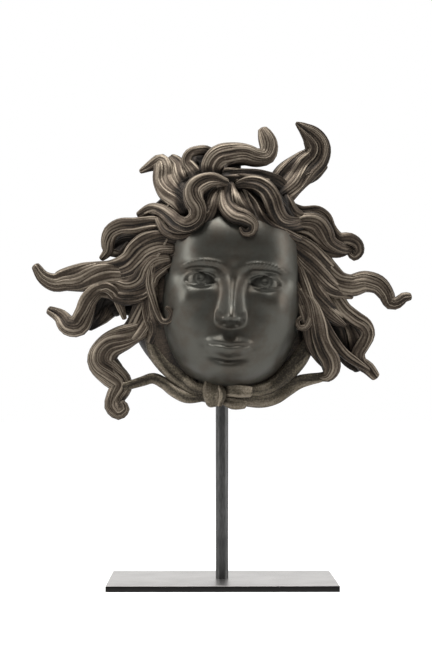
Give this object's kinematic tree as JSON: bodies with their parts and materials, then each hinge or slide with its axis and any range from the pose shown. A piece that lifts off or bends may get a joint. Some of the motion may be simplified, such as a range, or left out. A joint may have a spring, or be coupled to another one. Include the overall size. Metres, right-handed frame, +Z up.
{
  "type": "bronze mask on display stand",
  "caption": "Hollow cast bronze mask of a head with long wavy locks and bands tied under the chin, held upright by a round steel rod on a flat rectangular steel foot.",
  "frame": {"origin": "middle of the foot plate's underside, under the rod's axis", "axes": "+Z up along the rod, the mask looks along -Y, +X is to the right as seen from the front"},
  "size_m": [0.3812, 0.1635, 0.4643],
  "materials": {
    "bronze": "dark brown bronze patina, glossy on the face, rubbed lighter on the ridges of the hair",
    "rod_steel": "blackened, satin",
    "plate_steel": "brushed lengthwise, satin, with dark sawn edges"
  },
  "bodies": {
    "root": {"mask": "bronze", "support_rod": "rod_steel", "foot_plate": "plate_steel"}
  },
  "joints": []
}
